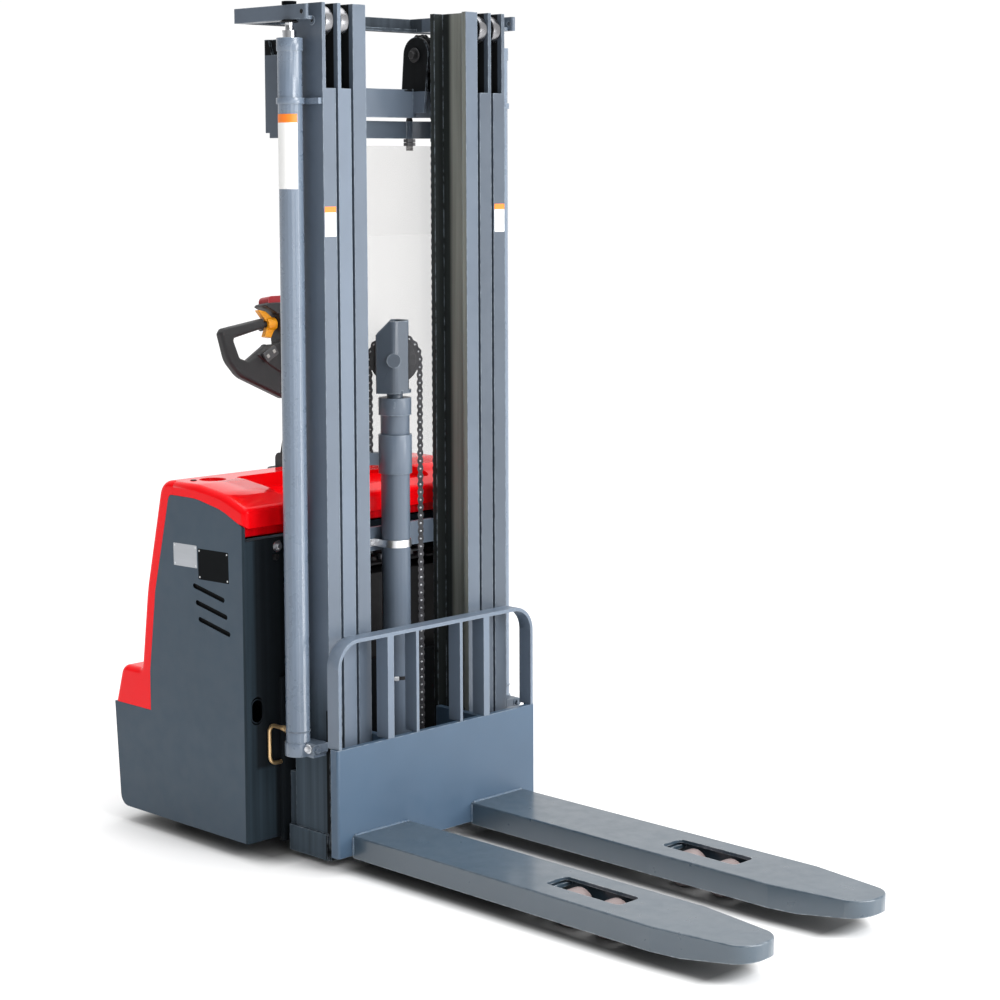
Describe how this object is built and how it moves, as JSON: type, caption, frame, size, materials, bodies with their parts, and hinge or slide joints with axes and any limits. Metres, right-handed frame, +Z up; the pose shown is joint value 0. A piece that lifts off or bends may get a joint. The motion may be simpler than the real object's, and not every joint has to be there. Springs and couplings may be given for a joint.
{
  "type": "electric stacker",
  "caption": "Pedestrian electric stacker with a grey three-stage mast, forks over support legs, a red hood, grey side panels and a black tiller.",
  "frame": {"origin": "on the floor, below the middle of the truck's length and width", "axes": "+X along the forks towards their tips, +Y to the truck's left, +Z up"},
  "size_m": [1.925, 0.8, 2.025],
  "materials": {
    "frame_paint": "satin",
    "panel_paint": "satin",
    "hood_red": "gloss",
    "black_plastic": "matte",
    "cast_housing": "rough",
    "bare_aluminium": "satin",
    "clear_guard": "gloss",
    "pipe_metal": "satin",
    "bright_steel": "satin",
    "chromed_rod": "polished",
    "chain_steel": "oiled",
    "wheel_tread": "matte",
    "roller_plastic": "matte",
    "paddle_yellow": "satin",
    "button_red": "satin",
    "button_grey": "matte"
  },
  "bodies": {
    "chassis": {"chassis_frame": "frame_paint", "support_leg_right": "frame_paint", "support_leg_left": "frame_paint", "side_panel_right": "panel_paint", "side_panel_left": "panel_paint", "rear_cover": "hood_red", "battery_pack": "black_plastic", "hydraulic_power_unit": "cast_housing", "motor_controller": "bare_aluminium", "outer_rail_right": "frame_paint", "outer_rail_left": "frame_paint", "outer_cross_beam": "frame_paint", "mast_guard": "clear_guard", "lift_cylinder_right": "frame_paint", "lift_cylinder_left": "frame_paint", "hydraulic_pipes": "pipe_metal", "chain_anchor_bolts": "bright_steel"},
    "middle_mast": {"middle_rail_right": "frame_paint", "middle_rail_left": "frame_paint", "middle_cross_beams": "frame_paint", "lift_rods": "chromed_rod", "mast_chains_rear": "chain_steel"},
    "inner_mast": {"inner_rail_right": "frame_paint", "inner_rail_left": "frame_paint", "inner_cross_beams": "frame_paint", "free_lift_cylinder": "frame_paint", "mast_chains_front": "chain_steel"},
    "lift_ram": {"lift_ram": "frame_paint", "sheave_yoke": "frame_paint", "lift_chain_rear": "chain_steel"},
    "lift_sheave": {"lift_sheave": "cast_housing"},
    "mast_sheaves": {"mast_sheaves": "cast_housing"},
    "carriage": {"carriage_plate": "frame_paint", "load_backrest": "frame_paint", "fork_right": "frame_paint", "fork_left": "frame_paint", "lift_chain_front": "chain_steel"},
    "outer_top_rollers": {"outer_top_rollers": "bright_steel"},
    "middle_bottom_rollers": {"middle_bottom_rollers": "bright_steel"},
    "middle_top_rollers": {"middle_top_rollers": "bright_steel"},
    "inner_bottom_rollers": {"inner_bottom_rollers": "bright_steel"},
    "carriage_upper_rollers": {"carriage_upper_rollers": "bright_steel"},
    "carriage_lower_rollers": {"carriage_lower_rollers": "bright_steel"},
    "battery_lid": {"battery_lid": "hood_red"},
    "emergency_stop": {"emergency_stop": "button_red"},
    "drive_unit": {"drive_unit": "cast_housing"},
    "drive_wheel": {"drive_wheel": "wheel_tread"},
    "tiller": {"tiller_arm": "black_plastic", "tiller_head": "black_plastic"},
    "thumb_paddles": {"thumb_paddles": "paddle_yellow"},
    "belly_button": {"belly_button": "button_red"},
    "lift_rocker": {"lift_rocker": "button_grey"},
    "load_roller_right_rear": {"load_roller_right_rear": "roller_plastic"},
    "load_roller_right_front": {"load_roller_right_front": "roller_plastic"},
    "caster_fork_right": {"caster_fork_right": "bright_steel"},
    "caster_wheel_right": {"caster_wheel_right": "wheel_tread"},
    "load_roller_left_rear": {"load_roller_left_rear": "roller_plastic"},
    "load_roller_left_front": {"load_roller_left_front": "roller_plastic"},
    "caster_fork_left": {"caster_fork_left": "bright_steel"},
    "caster_wheel_left": {"caster_wheel_left": "wheel_tread"}
  },
  "joints": [
    {"name": "mast_lift", "type": "slide", "parent": "chassis", "child": "middle_mast", "axis": [0, 0, 1], "range_m": [0, 1.25], "deforming": ["mast_chains_rear"]},
    {"name": "inner_lift", "type": "slide", "parent": "middle_mast", "child": "inner_mast", "axis": [0, 0, 1], "range_m": [0, 1.25], "deforming": ["mast_chains_front"]},
    {"name": "free_lift", "type": "slide", "parent": "inner_mast", "child": "lift_ram", "axis": [0, 0, 1], "range_m": [0, 0.62], "deforming": ["lift_chain_rear"]},
    {"name": "carriage_lift", "type": "slide", "parent": "inner_mast", "child": "carriage", "axis": [0, 0, 1], "range_m": [0, 1.24], "deforming": ["lift_chain_front"]},
    {"name": "lift_sheave_turn", "type": "hinge", "parent": "lift_ram", "child": "lift_sheave", "pos_m": [-0.3403, 0, 1.183], "axis": [0.7071, -0.7071, 0], "range_deg": [-5, 587.35]},
    {"name": "mast_sheaves_turn", "type": "hinge", "parent": "middle_mast", "child": "mast_sheaves", "pos_m": [-0.4375, 0, 1.924], "axis": [0, 1, 0], "range_deg": [-1596.55, 5]},
    {"name": "outer_top_rollers_turn", "type": "hinge", "parent": "chassis", "child": "outer_top_rollers", "pos_m": [-0.2877, 0, 1.982], "axis": [0, 1, 0], "range_deg": [-5, 2111.46]},
    {"name": "middle_top_rollers_turn", "type": "hinge", "parent": "middle_mast", "child": "middle_top_rollers", "pos_m": [-0.2877, 0, 1.982], "axis": [0, 1, 0], "range_deg": [-5, 2111.46]},
    {"name": "middle_bottom_rollers_turn", "type": "hinge", "parent": "middle_mast", "child": "middle_bottom_rollers", "pos_m": [-0.316, 0, 0.15], "axis": [0, 1, 0], "range_deg": [-1490.89, 5]},
    {"name": "inner_bottom_rollers_turn", "type": "hinge", "parent": "inner_mast", "child": "inner_bottom_rollers", "pos_m": [-0.316, 0, 0.15], "axis": [0, 1, 0], "range_deg": [-1490.89, 5]},
    {"name": "carriage_lower_rollers_turn", "type": "hinge", "parent": "carriage", "child": "carriage_lower_rollers", "pos_m": [-0.316, 0, 0.136], "axis": [0, 1, 0], "range_deg": [-1479, 5]},
    {"name": "carriage_upper_rollers_turn", "type": "hinge", "parent": "carriage", "child": "carriage_upper_rollers", "pos_m": [-0.316, 0, 0.25], "axis": [0, 1, 0], "range_deg": [-5, 1479]},
    {"name": "battery_lid_hinge", "type": "hinge", "parent": "chassis", "child": "battery_lid", "pos_m": [-0.5675, 0.4, 0.853], "axis": [-1, 0, 0], "range_deg": [0, 60]},
    {"name": "emergency_stop_push", "type": "slide", "parent": "chassis", "child": "emergency_stop", "axis": [0, 0, -1], "range_m": [0, 0.006], "stiffness_N_per_m": 400, "springref_m": -0.003},
    {"name": "steer", "type": "hinge", "parent": "chassis", "child": "drive_unit", "pos_m": [-0.7675, 0, 0.3], "axis": [0, 0, 1], "range_deg": [-90, 90]},
    {"name": "drive_wheel_roll", "type": "hinge", "parent": "drive_unit", "child": "drive_wheel", "pos_m": [-0.7675, 0, 0.115], "axis": [0, 1, 0], "continuous": true},
    {"name": "tiller_tilt", "type": "hinge", "parent": "drive_unit", "child": "tiller", "pos_m": [-0.7555, 0, 0.905], "axis": [0, -1, 0], "range_deg": [0, 70], "stiffness_Nm_per_rad": 10, "springref_deg": -22.92},
    {"name": "thumb_paddles_turn", "type": "hinge", "parent": "tiller", "child": "thumb_paddles", "pos_m": [-0.77338, 0, 1.25065], "axis": [0, 1, 0], "range_deg": [-28, 28], "stiffness_Nm_per_rad": 0.5},
    {"name": "belly_button_push", "type": "slide", "parent": "tiller", "child": "belly_button", "axis": [0.1564, 0, -0.9877], "range_m": [0, 0.005], "stiffness_N_per_m": 400, "springref_m": -0.003},
    {"name": "lift_rocker_tilt", "type": "hinge", "parent": "tiller", "child": "lift_rocker", "pos_m": [-0.7396, -0.062, 1.17804], "axis": [-0.1381, -0.4695, 0.8721], "range_deg": [-6, 6], "stiffness_Nm_per_rad": 0.5},
    {"name": "load_roller_right_rear_roll", "type": "hinge", "parent": "chassis", "child": "load_roller_right_rear", "pos_m": [0.4335, -0.195, 0.039], "axis": [0, 1, 0], "continuous": true},
    {"name": "load_roller_right_front_roll", "type": "hinge", "parent": "chassis", "child": "load_roller_right_front", "pos_m": [0.5435, -0.195, 0.039], "axis": [0, 1, 0], "continuous": true},
    {"name": "load_roller_left_rear_roll", "type": "hinge", "parent": "chassis", "child": "load_roller_left_rear", "pos_m": [0.4335, 0.195, 0.039], "axis": [0, 1, 0], "continuous": true},
    {"name": "load_roller_left_front_roll", "type": "hinge", "parent": "chassis", "child": "load_roller_left_front", "pos_m": [0.5435, 0.195, 0.039], "axis": [0, 1, 0], "continuous": true},
    {"name": "caster_right_swivel", "type": "hinge", "parent": "chassis", "child": "caster_fork_right", "pos_m": [-0.7675, -0.3, 0.1], "axis": [0, 0, 1], "continuous": true},
    {"name": "caster_right_roll", "type": "hinge", "parent": "caster_fork_right", "child": "caster_wheel_right", "pos_m": [-0.8015, -0.3, 0.05], "axis": [0, 1, 0], "continuous": true},
    {"name": "caster_left_swivel", "type": "hinge", "parent": "chassis", "child": "caster_fork_left", "pos_m": [-0.7675, 0.3, 0.1], "axis": [0, 0, 1], "continuous": true},
    {"name": "caster_left_roll", "type": "hinge", "parent": "caster_fork_left", "child": "caster_wheel_left", "pos_m": [-0.8015, 0.3, 0.05], "axis": [0, 1, 0], "continuous": true}
  ],
  "couplings": [
    {"joint": "inner_lift", "follows": "mast_lift", "ratio": 1},
    {"joint": "carriage_lift", "follows": "free_lift", "ratio": 2},
    {"joint": "lift_sheave_turn", "follows": "free_lift", "rad_per_m": 16.393},
    {"joint": "mast_sheaves_turn", "follows": "mast_lift", "rad_per_m": -22.222},
    {"joint": "outer_top_rollers_turn", "follows": "mast_lift", "rad_per_m": 29.412},
    {"joint": "middle_top_rollers_turn", "follows": "mast_lift", "rad_per_m": 29.412},
    {"joint": "middle_bottom_rollers_turn", "follows": "mast_lift", "rad_per_m": -20.747},
    {"joint": "inner_bottom_rollers_turn", "follows": "mast_lift", "rad_per_m": -20.747},
    {"joint": "carriage_lower_rollers_turn", "follows": "free_lift", "rad_per_m": -41.494},
    {"joint": "carriage_upper_rollers_turn", "follows": "free_lift", "rad_per_m": 41.494}
  ]
}
